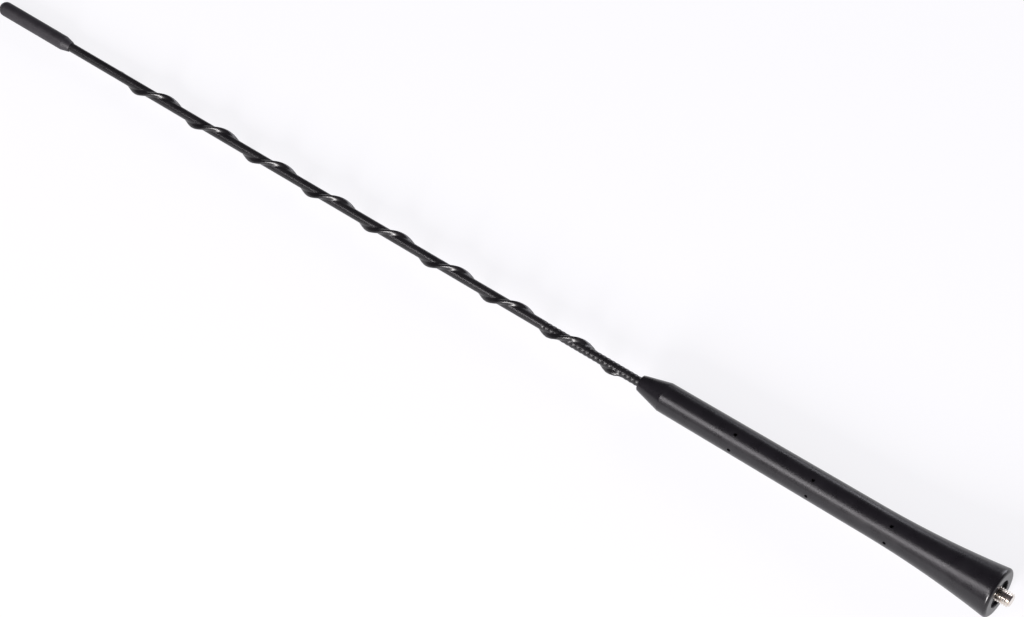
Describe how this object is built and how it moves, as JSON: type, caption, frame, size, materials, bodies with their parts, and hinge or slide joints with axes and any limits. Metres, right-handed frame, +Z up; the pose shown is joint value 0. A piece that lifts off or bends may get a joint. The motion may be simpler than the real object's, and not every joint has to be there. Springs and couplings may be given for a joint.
{
  "type": "car roof whip antenna",
  "caption": "Screw-in roof whip antenna for a car: flared soft handle on an M5 stud, slim mast with a spiral wind ridge and a plain tip cap.",
  "frame": {"origin": "middle of the handle's end face, on the stud's axis", "axes": "+Z up the mast from the stud to the tip, the stud points along -Z, -Y looks roughly at the side that the picture shows"},
  "size_m": [0.0178, 0.0178, 0.409],
  "materials": {
    "handle_rubber": "satin moulded soft black",
    "plated_brass": "bright nickel plate over turned brass",
    "glass_fibre": "ground resin and glass fibre",
    "copper_wire": "lacquered copper wire",
    "nylon_cord": "drawn nylon",
    "shrunk_sleeve": "shrunk black sleeve, half gloss",
    "cap_plastic": "satin moulded black"
  },
  "bodies": {
    "root": {"handle": "handle_rubber", "base_stud": "plated_brass", "core_rod": "glass_fibre", "radiator_winding": "copper_wire", "wind_spiral": "nylon_cord", "mast_sleeve": "shrunk_sleeve", "tip_cap": "cap_plastic"}
  },
  "joints": []
}
